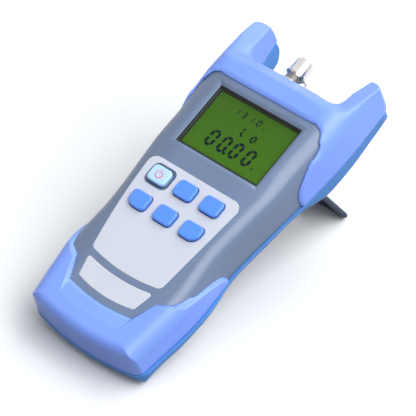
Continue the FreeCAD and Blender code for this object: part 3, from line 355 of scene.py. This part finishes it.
def toned(base, share, lift=0.0):
    """A linear colour made darker or lighter by a share, and lifted, up to full light."""
    return [min(1.0, c * share + lift) for c in base[:3]] + [1.0]


# ---------------------------------------------------------------- finishes

def satin_plastic(name, rgb, roughness, lighter, edge, grain=4200.0, gloss=0.5, roll=None):
    """Moulded plastic with a fine spark-eroded grain, faint mottling, and a painted highlight that
    makes its edges lighter.

    A roll (start, end, drop) lets a flat face fall away softly towards both of its sides.
    """
    made = Finish(name)
    spot = made.place()
    mottle = made.noise(spot, scale=38.0, detail=3.0)
    fine = made.noise(spot, scale=grain, roughness=0.6)
    smooth, near_edge = made.softened(edge)
    base = linear(rgb)
    body = made.mix(made.between(mottle, 0.35, 0.65), toned(base, 0.93), base)
    # Painted highlight: the colour is made lighter near edges, where light would catch a moulded
    # corner.
    body = made.mix(near_edge * 0.45, body, toned(base, lighter))
    rough = made.spread(fine, roughness - 0.05, roughness + 0.05) - near_edge * 0.08
    if roll:
        start, end, drop = roll
        across = made.axes(made.place(LEAN))[0]
        fall = made.between(abs(across), start, end, 1.0, 0.0, curve="SMOOTHSTEP")
        smooth = made.bump(fall, depth=drop, strength=1.0, normal=smooth)
    return made.surface(made.shader({
        "Base Color": body, "Roughness": rough, "Specular IOR Level": gloss,
        "Normal": made.bump(fine, depth=0.000012, strength=0.5, normal=smooth)}))


def silver_film(name, rgb):
    """Screen-printed film: pale silver ink with a fine sparkle under a satin face, and a painted
    highlight on its edges.
    """
    made = Finish(name)
    spot = made.place()
    flake = made.node("ShaderNodeTexVoronoi", {"feature": "F1"}, {"Vector": spot, "Scale": 5200.0},
                      out="Color")
    glint = made.node("ShaderNodeSeparateColor", None, {0: flake})
    cloud = made.noise(spot, scale=60.0, detail=3.0)
    smooth, near_edge = made.softened(0.0003)
    base = linear(rgb)
    dull = toned(base, 0.86)
    body = made.mix(glint, dull, base)
    body = made.mix(made.between(cloud, 0.4, 0.62) * 0.25, body, dull)
    # Painted highlight: the film is painted towards white near its edges.
    body = made.mix(near_edge * 0.5, body, WHITE)
    return made.surface(made.shader({
        "Base Color": body, "Metallic": 0.15, "Roughness": glint * 0.14 + 0.42,
        "Normal": made.bump(glint, depth=0.000008, strength=0.35, normal=smooth)}))


def silicone(name, rgb, edge_highlight_lift):
    """Soft keypad rubber, a little shiny, with a painted highlight on its rounded edges and painted
    shade at its foot.
    """
    made = Finish(name)
    fine = made.noise(made.place(), scale=3000.0)
    smooth, near_edge = made.softened(0.0006)
    base = linear(rgb)
    out = made.axes(made.place(LEAN, centre=(0.0, 0.0, FACE)))[2]
    painted_foot_shade = made.between(out, 0.0001, 0.0009, 1.0, 0.0)
    # Painted highlight: the rounded edges are painted lighter.
    body = made.mix(near_edge * 0.6, base, toned(base, edge_highlight_lift, 0.03))
    # Painted shade: the key is painted darker near its foot, where it meets the panel.
    body = made.mix(painted_foot_shade * 0.75, body, toned(base, 0.35))
    return made.surface(made.shader({
        "Base Color": body, "Roughness": made.spread(fine, 0.34, 0.44),
        "Coat Weight": 0.15, "Coat Roughness": 0.25,
        "Normal": made.bump(fine, depth=0.00001, strength=0.4, normal=smooth)}))


def display_face(name, rgb):
    """The reflective display behind its lens: olive green, with painted shade that makes it darker
    towards its top and browner and darker towards the frame.
    """
    made = Finish(name)
    middle = (GLASS_LOW + GLASS_HIGH) / 2
    half = (GLASS_HIGH - GLASS_LOW) / 2
    across, up, _ = made.axes(made.place(LEAN, middle, (1 / half.x, 1 / half.y, 1.0)))
    rim = made.larger(abs(across), abs(up))
    base = linear(rgb)
    # Painted shade: the display is painted darker towards its top left and lighter towards its bottom
    # right.
    painted_shade_slope = made.between(up + across * -0.25, -1.0, 1.0)
    body = made.mix(painted_shade_slope, toned(base, 1.12), toned(base, 0.86))
    # Painted shade: browner and darker near the frame, where the recess is in shade.
    body = made.mix(made.between(rim, 0.86, 1.0) * 0.8, body, linear((0.30, 0.30, 0.08)))
    haze = made.noise(made.place(), scale=900.0)
    return made.surface(made.shader({
        "Base Color": body, "Roughness": made.spread(haze, 0.45, 0.6),
        "Specular IOR Level": 0.08}))


def clear_lens(name):
    """Acrylic lens: see-through, with a faint cool film of reflected light."""
    made = Finish(name)
    smear = made.noise(made.place(), scale=45.0, detail=4.0)
    gloss = made.shader({
        "Base Color": linear((0.75, 0.85, 0.80)), "Specular IOR Level": 1.0,
        "Roughness": made.between(smear, 0.35, 0.7, 0.04, 0.10)})
    clear = made.node("ShaderNodeBsdfTransparent", None, {"Color": (0.93, 0.97, 0.94, 1.0)})
    fresnel = made.node("ShaderNodeFresnel", None, {"IOR": 1.49})
    return made.surface(made.node("ShaderNodeMixShader", None,
                                  {0: fresnel * 0.14, 1: clear, 2: gloss}))


def plated_metal(name, rgb, roughness, streak=None, dark=0.55, pitch=None):
    """Plated or turned metal: bright, with fine tool lines, darker in random places, and with painted
    shade at its edges.

    A streak (scale on each axis) draws the tool lines out.  A pitch cuts a fine thread along the
    body of the meter as a bump, with painted shade in its grooves.
    """
    made = Finish(name)
    spot = made.place(LEAN)
    if streak:
        lines = made.noise(made.place(LEAN, scale=streak), scale=1.0)
    else:
        lines = made.noise(spot, scale=900.0, detail=3.0)
    cloud = made.noise(spot, scale=260.0, detail=3.0)
    smooth, near_edge = made.softened(0.0002)
    base = linear(rgb)
    body = made.mix(made.between(cloud, 0.35, 0.75) * 0.35, base, toned(base, dark))
    # Painted shade: the metal is painted much darker near its edges, as an outline.
    body = made.mix(near_edge * 0.7, body, toned(base, 0.25))
    if pitch:
        up = made.axes(spot)[1]
        turns = made.node("ShaderNodeMath", {"operation": "SINE"}, {0: up * (2 * math.pi / pitch)})
        smooth = made.bump(turns, depth=pitch * 0.22, strength=1.0, normal=smooth)
        # Painted shade: the thread's grooves are painted darker.
        body = made.mix(made.between(turns, 0.2, -1.0) * 0.8, body, toned(base, 0.2))
    return made.surface(made.shader({
        "Base Color": body, "Metallic": 1.0,
        "Roughness": made.spread(lines, roughness - 0.05, roughness + 0.08),
        "Normal": made.bump(lines, depth=0.00001, strength=0.35, normal=smooth)}))


def solder_mask(name):
    """Green solder mask, a little darker and lower between the copper areas."""
    made = Finish(name)
    cell = made.node("ShaderNodeTexVoronoi", {"feature": "DISTANCE_TO_EDGE"},
                     {"Vector": made.place(), "Scale": 260.0}, out="Distance")
    track = made.between(cell, 0.05, 0.07)
    return made.surface(made.shader({
        "Base Color": made.mix(track, linear((0.16, 0.55, 0.30)), linear((0.05, 0.38, 0.20))),
        "Roughness": 0.32, "Coat Weight": 0.4,
        "Normal": made.bump(track, depth=0.00003, strength=0.6)}))


def cell_sleeve(name):
    """Shrink sleeve of a cell: black barrel with a copper band at its positive end."""
    made = Finish(name)
    low, high = level_box("battery_cell_1")
    up = made.axes(made.place(LEAN, low, (1.0, 1 / (high.y - low.y), 1.0)))[1]
    band = made.between(up, 0.74, 0.75)
    wrap = made.noise(made.place(), scale=700.0)
    return made.surface(made.shader({
        "Base Color": made.mix(band, linear((0.07, 0.07, 0.08)), linear((0.72, 0.42, 0.20))),
        "Metallic": band * 0.8, "Roughness": made.spread(wrap, 0.24, 0.34), "Coat Weight": 0.5}))


def ink(name, rgb, roughness=0.5, gloss=0.5):
    """Printed or switched-on figures: flat colour with a very slight unevenness."""
    made = Finish(name)
    tone = made.noise(made.place(), scale=1500.0)
    base = linear(rgb)
    return made.surface(made.shader({
        "Base Color": made.mix(tone, toned(base, 0.85), base),
        "Roughness": roughness, "Specular IOR Level": gloss}))


def floor_paint(name, rgb, bounce):
    """Pale floor that throws back less light than its colour would, and fades out far away."""
    made = Finish(name)
    tone = made.noise(made.place(), scale=3.0)
    base = linear(rgb)
    shown = made.mix(tone, toned(base, 0.985), base)
    bounced = made.node("ShaderNodeLightPath", out="Is Diffuse Ray")
    paint = made.shader({
        "Base Color": made.mix(bounced, shown, [bounce] * 3 + [1.0]), "Roughness": 0.7})
    away = made.node("ShaderNodeVectorMath", {"operation": "LENGTH"}, {0: made.place()},
                     out="Value")
    clear = made.node("ShaderNodeBsdfTransparent")
    return made.surface(made.node("ShaderNodeMixShader", None,
                                  {0: made.between(away, *FLOOR_FADE), 1: paint, 2: clear}))


def finish_nodes(material, *names):
    """Gives CAD nodes one finish all over."""
    for name in names:
        slots = frame["nodes"][name].data.materials
        slots.clear()
        slots.append(material)


# ---------------------------------------------------------------- mesh helpers

def new_object(name, shape, material):
    """Links a new object to the scene and frees the bmesh that it is made of."""
    mesh = bpy.data.meshes.new(name)
    shape.to_mesh(mesh)
    shape.free()
    mesh.materials.append(material)
    made = bpy.data.objects.new(name, mesh)
    bpy.context.scene.collection.objects.link(made)
    return made


def add_piece(name, shape, material, body):
    """Makes a finished object of a bmesh that was modelled with the lean taken out."""
    bmesh.ops.remove_doubles(shape, verts=shape.verts, dist=FINE_WELD)
    bmesh.ops.recalc_face_normals(shape, faces=shape.faces)
    shape.transform(TURN)
    piece = new_object(name, shape, material)
    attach(piece, body)


def skin_of(node):
    """A CAD node's closed skin, with its seams merged."""
    shape = bmesh.new()
    shape.from_mesh(frame["nodes"][node].data)
    bmesh.ops.remove_doubles(shape, verts=shape.verts, dist=WELD)
    return shape


def cells_of(node, size):
    """A CAD node's skin, redrawn in even square cells."""
    shape = skin_of(node)
    mesh = bpy.data.meshes.new(node + "_skin")
    shape.to_mesh(mesh)
    rough = bpy.data.objects.new(node + "_skin", mesh)
    bpy.context.scene.collection.objects.link(rough)
    grid = rough.modifiers.new("cells", "REMESH")
    grid.mode = "VOXEL"
    grid.voxel_size = size
    settled = bpy.context.evaluated_depsgraph_get()
    fine = bpy.data.meshes.new_from_object(rough.evaluated_get(settled))
    shape.clear()
    shape.from_mesh(fine)
    for used in (fine, mesh):
        bpy.data.meshes.remove(used)
    return shape


def ease(shape, verts, passes):
    """Lets each point settle towards the middle of its neighbours, a few times over."""
    for _ in range(passes):
        bmesh.ops.smooth_vert(shape, verts=verts, factor=0.5, use_axis_x=True, use_axis_y=True,
                              use_axis_z=True)


def near(shape, level_spot, reach):
    """Points of a shape within reach of a level point."""
    centre = TURN @ Vector(level_spot)
    return [vertex for vertex in shape.verts if (vertex.co - centre).length < reach]


def shade_smooth(shape):
    for face in shape.faces:
        face.smooth = True


def raised(shape, corners, height):
    """A flat-topped plate on the given corners, from the height of the first corner up."""
    face = shape.faces.new([shape.verts.new(corner) for corner in corners])
    grown = bmesh.ops.extrude_face_region(shape, geom=[face])
    top = [item for item in grown["geom"] if isinstance(item, bmesh.types.BMVert)]
    bmesh.ops.translate(shape, verts=top, vec=(0.0, 0.0, height))


def upright_bar(shape, x, low, high, width, z, height):
    """A segment that runs up the display, pointed at both ends."""
    half = width / 2
    raised(shape, [(x, low, z), (x + half, low + half, z), (x + half, high - half, z),
                   (x, high, z), (x - half, high - half, z), (x - half, low + half, z)], height)


def level_bar(shape, left, right, y, width, z, height):
    """A segment that runs across the display, pointed at both ends."""
    half = width / 2
    raised(shape, [(left, y, z), (left + half, y - half, z), (right - half, y - half, z),
                   (right, y, z), (right - half, y + half, z), (left + half, y + half, z)], height)


def figure(shape, glyph, left, low, wide, tall, bar, z, height):
    """One seven-segment figure, its segments parted by narrow gaps."""
    gap = bar * SEGMENT_GAP
    x_left = left + bar / 2
    x_right = left + wide - bar / 2
    y_low = low + bar / 2
    y_high = low + tall - bar / 2
    y_mid = (y_low + y_high) / 2
    for segment in SEGMENTS[glyph]:
        if segment in "adg":
            y = {"a": y_high, "d": y_low, "g": y_mid}[segment]
            level_bar(shape, x_left + gap, x_right - gap, y, bar, z, height)
        else:
            x = x_right if segment in "bc" else x_left
            start, end = (y_mid, y_high) if segment in "bf" else (y_low, y_mid)
            upright_bar(shape, x, start + gap, end - gap, bar, z, height)


# ---------------------------------------------------------------- studio helpers

def lay_floor(size, level):
    """A plain round floor just under the given level."""
    shape = bmesh.new()
    bmesh.ops.create_circle(shape, cap_ends=True, segments=64, radius=FLOOR_RADIUS)
    shape.transform(Matrix.Translation((0.0, 0.0, level - FLOOR_GAP)))
    floor = new_object("floor", shape, floor_paint("floor_paint", size.floor, size.floor_bounce))
    floor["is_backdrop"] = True


def hang_lamps(scene, size, target):
    """Square soft lights that face the target."""
    for name, spot, width, strength in LAMPS:
        lamp = bpy.data.lights.new(name, "AREA")
        lamp.shape = "SQUARE"
        lamp.size = width
        lamp.energy = getattr(size, strength)
        light = bpy.data.objects.new(name, lamp)
        light.location = spot
        light.rotation_mode = "QUATERNION"
        light.rotation_quaternion = (target - Vector(spot)).to_track_quat("-Z", "Y")
        scene.collection.objects.link(light)


def set_surround(scene, sky):
    """A surround that is seen as white, also in metal and glass, and lights the meter weakly."""
    world = bpy.data.worlds.new("white_surround")
    made = Tree(world)
    straight, glossy, through = made.outputs(made.node("ShaderNodeLightPath"), "Is Camera Ray",
                                             "Is Glossy Ray", "Is Transmission Ray")
    seen = made.larger(straight, made.larger(glossy, through))
    strength = made.node("ShaderNodeMapRange", None, {"Value": seen, "To Min": sky, "To Max": 1.0})
    light = made.node("ShaderNodeBackground", None, {"Color": WHITE, "Strength": strength})
    made.links.new(light.socket, made.nodes.new("ShaderNodeOutputWorld").inputs["Surface"])
    scene.world = world


def set_camera(scene, size):
    """The camera, on its turn, height and distance from the point it looks at."""
    back = Vector((math.sin(size.azimuth) * math.cos(size.elevation),
                   -math.cos(size.azimuth) * math.cos(size.elevation),
                   math.sin(size.elevation)))
    lens = bpy.data.cameras.new("camera")
    lens.lens = size.focal
    lens.sensor_width = SENSOR_WIDTH
    camera = bpy.data.objects.new("camera", lens)
    camera.location = TURN @ Vector(AIM) + back * size.distance
    camera.rotation_mode = "QUATERNION"
    camera.rotation_quaternion = ((-back).to_track_quat("-Z", "Y")
                                  @ Quaternion((0.0, 0.0, 1.0), size.roll))
    scene.collection.objects.link(camera)
    scene.camera = camera


# ---------------------------------------------------------------- operators

class SoftenGuards(Operator):
    """Finishes the soft guards, and rounds the upper one where the horns run into the yoke"""
    bl_idname = "meter.soften_guards"
    bl_label = "Soft guards"

    def execute(self, context):
        size = context.scene.meter_guards
        rubber = satin_plastic("guard_plastic", context.scene.meter_colours.guard,
                               roughness=0.40, lighter=1.7, edge=0.0010)
        finish_nodes(rubber, "lower_guard")
        cells = cells_of("upper_guard", size.cell)
        for root in HORN_ROOTS:
            for share in NESTED:
                ease(cells, near(cells, root, size.reach * share), size.passes)
        for step in RIM_STEPS:
            ease(cells, near(cells, step, STEP_REACH), size.step_passes)
        ease(cells, cells.verts, size.rim_passes)
        shade_smooth(cells)
        piece = new_object("upper_guard_soft", cells, rubber)
        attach(piece, "meter")
        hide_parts("upper_guard")
        return {"FINISHED"}


class FinishShells(Operator):
    """Gives the cases, the stand and the battery cover their moulded finishes"""
    bl_idname = "meter.finish_shells"
    bl_label = "Cases and stand"

    def execute(self, context):
        tint = context.scene.meter_colours
        finish_nodes(satin_plastic("rear_plastic", tint.rear, roughness=0.52, lighter=1.5,
                                   edge=0.0008, gloss=0.25),
                     "rear_case", "battery_cover")
        finish_nodes(satin_plastic("case_plastic", tint.case, roughness=0.31, lighter=1.6,
                                   edge=0.0009, grain=5200.0, roll=(0.018, 0.034, 0.0030)),
                     "front_case")
        # Painted shade: the stand is the case's plastic, painted darker as if in shade.
        shaded = [c * 0.62 for c in tint.case]
        finish_nodes(satin_plastic("stand_plastic", shaded, roughness=0.55, lighter=1.4,
                                   edge=0.0004, gloss=0.2),
                     "stand")
        return {"FINISHED"}


class FinishFace(Operator):
    """Gives the film, the keys, the window and the display their finishes"""
    bl_idname = "meter.finish_face"
    bl_label = "Face, keys and window"

    def execute(self, context):
        tint = context.scene.meter_colours
        finish_nodes(silver_film("panel_film", tint.film), "key_panel", "label_plate")
        finish_nodes(silicone("key_silicone", tint.key, edge_highlight_lift=1.5),
                     "auto_off_key", "zero_key", "light_key", "units_key", "wavelength_key")
        finish_nodes(silicone("power_key_silicone", tint.power_key, edge_highlight_lift=1.3), "power_key")
        finish_nodes(satin_plastic("gasket_foam", tint.gasket, roughness=0.7, lighter=1.6,
                                   edge=0.0003),
                     "window_gasket")
        finish_nodes(clear_lens("window_acrylic"), "window_lens")
        finish_nodes(display_face("display_green", tint.display), "lcd_glass")
        return {"FINISHED"}


class FinishInside(Operator):
    """Gives the board, the cells, the contacts and the detector their finishes"""
    bl_idname = "meter.finish_inside"
    bl_label = "Parts inside"

    def execute(self, context):
        finish_nodes(satin_plastic("diffuser_plastic", (0.93, 0.94, 0.92), roughness=0.5,
                                   lighter=1.05, edge=0.0003),
                     "lcd_backlight")
        finish_nodes(solder_mask("board_mask"), "main_board")
        finish_nodes(plated_metal("dome_steel", (0.80, 0.80, 0.82), roughness=0.25),
                     "switch_domes", "stand_pin", "contact_springs")
        finish_nodes(plated_metal("contact_nickel", (0.82, 0.79, 0.68), roughness=0.3),
                     "contact_plates")
        finish_nodes(plated_metal("screw_zinc", (0.66, 0.66, 0.68), roughness=0.34), "case_screws")
        finish_nodes(satin_plastic("holder_plastic", (0.10, 0.10, 0.11), roughness=0.5,
                                   lighter=1.5, edge=0.0002),
                     "detector_holder")
        finish_nodes(plated_metal("diode_gold", (0.95, 0.78, 0.42), roughness=0.22), "photodiode")
        finish_nodes(cell_sleeve("cell_sleeve"),
                     "battery_cell_1", "battery_cell_2", "battery_cell_3")
        return {"FINISHED"}


class FinishPort(Operator):
    """Gives the port, its nut, the dust cap and its ring their metal finishes"""
    bl_idname = "meter.finish_port"
    bl_label = "Port and dust cap"

    def execute(self, context):
        tint = context.scene.meter_colours
        finish_nodes(plated_metal("port_nickel", tint.nickel, roughness=0.18),
                     "port_nut", "chain_tag", "cap_ring")
        finish_nodes(plated_metal("port_thread", tint.nickel, roughness=0.18, pitch=0.00075),
                     "port_adapter")
        finish_nodes(plated_metal("cap_aluminium", tint.cap, roughness=0.17,
                                  streak=(2500.0, 50.0, 2500.0), dark=0.8),
                     "dust_cap")
        return {"FINISHED"}


class HangChain(Operator):
    """Redraws the ball chain as a smooth-shaded copy of its CAD skin, and hides the CAD chain"""
    bl_idname = "meter.hang_chain"
    bl_label = "Ball chain"

    def execute(self, context):
        shape = skin_of("ball_chain")
        shade_smooth(shape)
        chain = new_object("hung_chain", shape,
                           plated_metal("chain_nickel", context.scene.meter_colours.nickel,
                                        roughness=0.18))
        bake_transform(chain)
        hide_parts("ball_chain")
        return {"FINISHED"}


class DrawReading(Operator):
    """Makes the reading on the display: a wavelength, a low mark and a row of zeros"""
    bl_idname = "meter.draw_reading"
    bl_label = "Display reading"

    def execute(self, context):
        size = context.scene.meter_display
        z = GLASS_HIGH.z
        shape = bmesh.new()
        base = WINDOW.y + READING_LOW
        for glyph, left in zip(READING, READING_LEFTS):
            figure(shape, glyph, left, base, size.wide, size.tall, size.bar, z, size.relief)
        dot = size.bar / 2
        raised(shape, [(POINT_X - dot, base, z), (POINT_X + dot, base, z),
                       (POINT_X + dot, base + size.bar, z), (POINT_X - dot, base + size.bar, z)],
               size.relief)
        for glyph, middle in zip(WAVELENGTH, WAVELENGTH_MIDDLES):
            figure(shape, glyph, middle - size.small_wide / 2, WINDOW.y + WAVELENGTH_LOW,
                   size.small_wide, size.small_tall, size.small_bar, z, size.relief)
        for glyph, left, low, wide, tall, bar in SMALL_FIGURES:
            figure(shape, glyph, left, WINDOW.y + low, wide, tall, bar, z, size.relief)
        lean = Matrix.Identity(4)
        lean[0][1] = math.tan(size.slant)
        shape.transform(Matrix.Translation((0.0, base, 0.0)) @ lean
                        @ Matrix.Translation((0.0, -base, 0.0)))
        segments = ink("display_segments", context.scene.meter_colours.figure, roughness=0.4,
                       gloss=0.05)
        add_piece("display_reading", shape, segments, "meter")
        return {"FINISHED"}


class DrawPowerMark(Operator):
    """Prints the plain power mark on the pale key: an open ring with a bar in its gap"""
    bl_idname = "meter.draw_power_mark"
    bl_label = "Power mark"

    def execute(self, context):
        size = context.scene.meter_mark
        low, high = level_box("power_key")
        centre = Vector(((low.x + high.x) / 2, (low.y + high.y) / 2, high.z))
        shape = bmesh.new()
        half = size.stroke / 2
        section = [shape.verts.new(centre + Vector((0.0, size.radius + reach, rise)))
                   for reach, rise in ((-half, 0.0), (half, 0.0), (half, size.ink),
                                       (-half, size.ink))]
        end = shape.faces.new(section)
        bmesh.ops.rotate(shape, verts=section, cent=centre,
                         matrix=Matrix.Rotation(size.gap / 2, 3, "Z"))
        bmesh.ops.spin(shape, geom=[end], cent=centre, axis=(0.0, 0.0, 1.0),
                       angle=2 * math.pi - size.gap, steps=MARK_STEPS, use_merge=False,
                       use_duplicate=False)
        foot, tip = [size.radius * share for share in MARK_BAR]
        bar = [(-half, foot), (half, foot), (half, tip), (-half, tip)]
        raised(shape, [centre + Vector((x, y, 0.0)) for x, y in bar], size.ink)
        add_piece("power_mark", shape,
                  ink("power_mark_ink", context.scene.meter_colours.power_mark), "power_key")
        return {"FINISHED"}


class SetStudio(Operator):
    """Makes the floor, the soft lights, the white surround and the camera"""
    bl_idname = "meter.set_studio"
    bl_label = "Studio"

    def execute(self, context):
        scene = context.scene
        size = scene.meter_studio
        low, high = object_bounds()
        lay_floor(size, low.z)
        hang_lamps(scene, size, (low + high) / 2)
        set_surround(scene, size.sky)
        set_camera(scene, size)
        scene.view_settings.view_transform = "Standard"
        return {"FINISHED"}


STEPS = (SoftenGuards, FinishShells, FinishFace, FinishInside, FinishPort, HangChain, DrawReading,
         DrawPowerMark, SetStudio)
GROUPS = {"meter_colours": MeterColours, "meter_guards": GuardSizes,
          "meter_display": DisplaySizes, "meter_mark": MarkSizes, "meter_studio": StudioSizes}


class MeterPanel(Panel):
    """Lists the sizes and colours, and the steps that make the pieces"""
    bl_idname = "VIEW3D_PT_power_meter"
    bl_label = "Optical power meter"
    bl_space_type = "VIEW_3D"
    bl_region_type = "UI"
    bl_category = "Meter"

    def draw(self, context):
        for name, group in GROUPS.items():
            box = self.layout.box()
            for prop in group.__annotations__:
                box.prop(getattr(context.scene, name), prop)
        for step in STEPS:
            self.layout.operator(step.bl_idname)


CLASSES = (*GROUPS.values(), *STEPS, MeterPanel)


def register():
    for each in CLASSES:
        bpy.utils.register_class(each)
    for name, group in GROUPS.items():
        setattr(bpy.types.Scene, name, PointerProperty(type=group))


def unregister():
    for name in GROUPS:
        delattr(bpy.types.Scene, name)
    for each in reversed(CLASSES):
        bpy.utils.unregister_class(each)


def main():
    register()
    for step in STEPS:
        group, call = step.bl_idname.split(".")
        getattr(getattr(bpy.ops, group), call)()


if __name__ == "__main__":
    main()
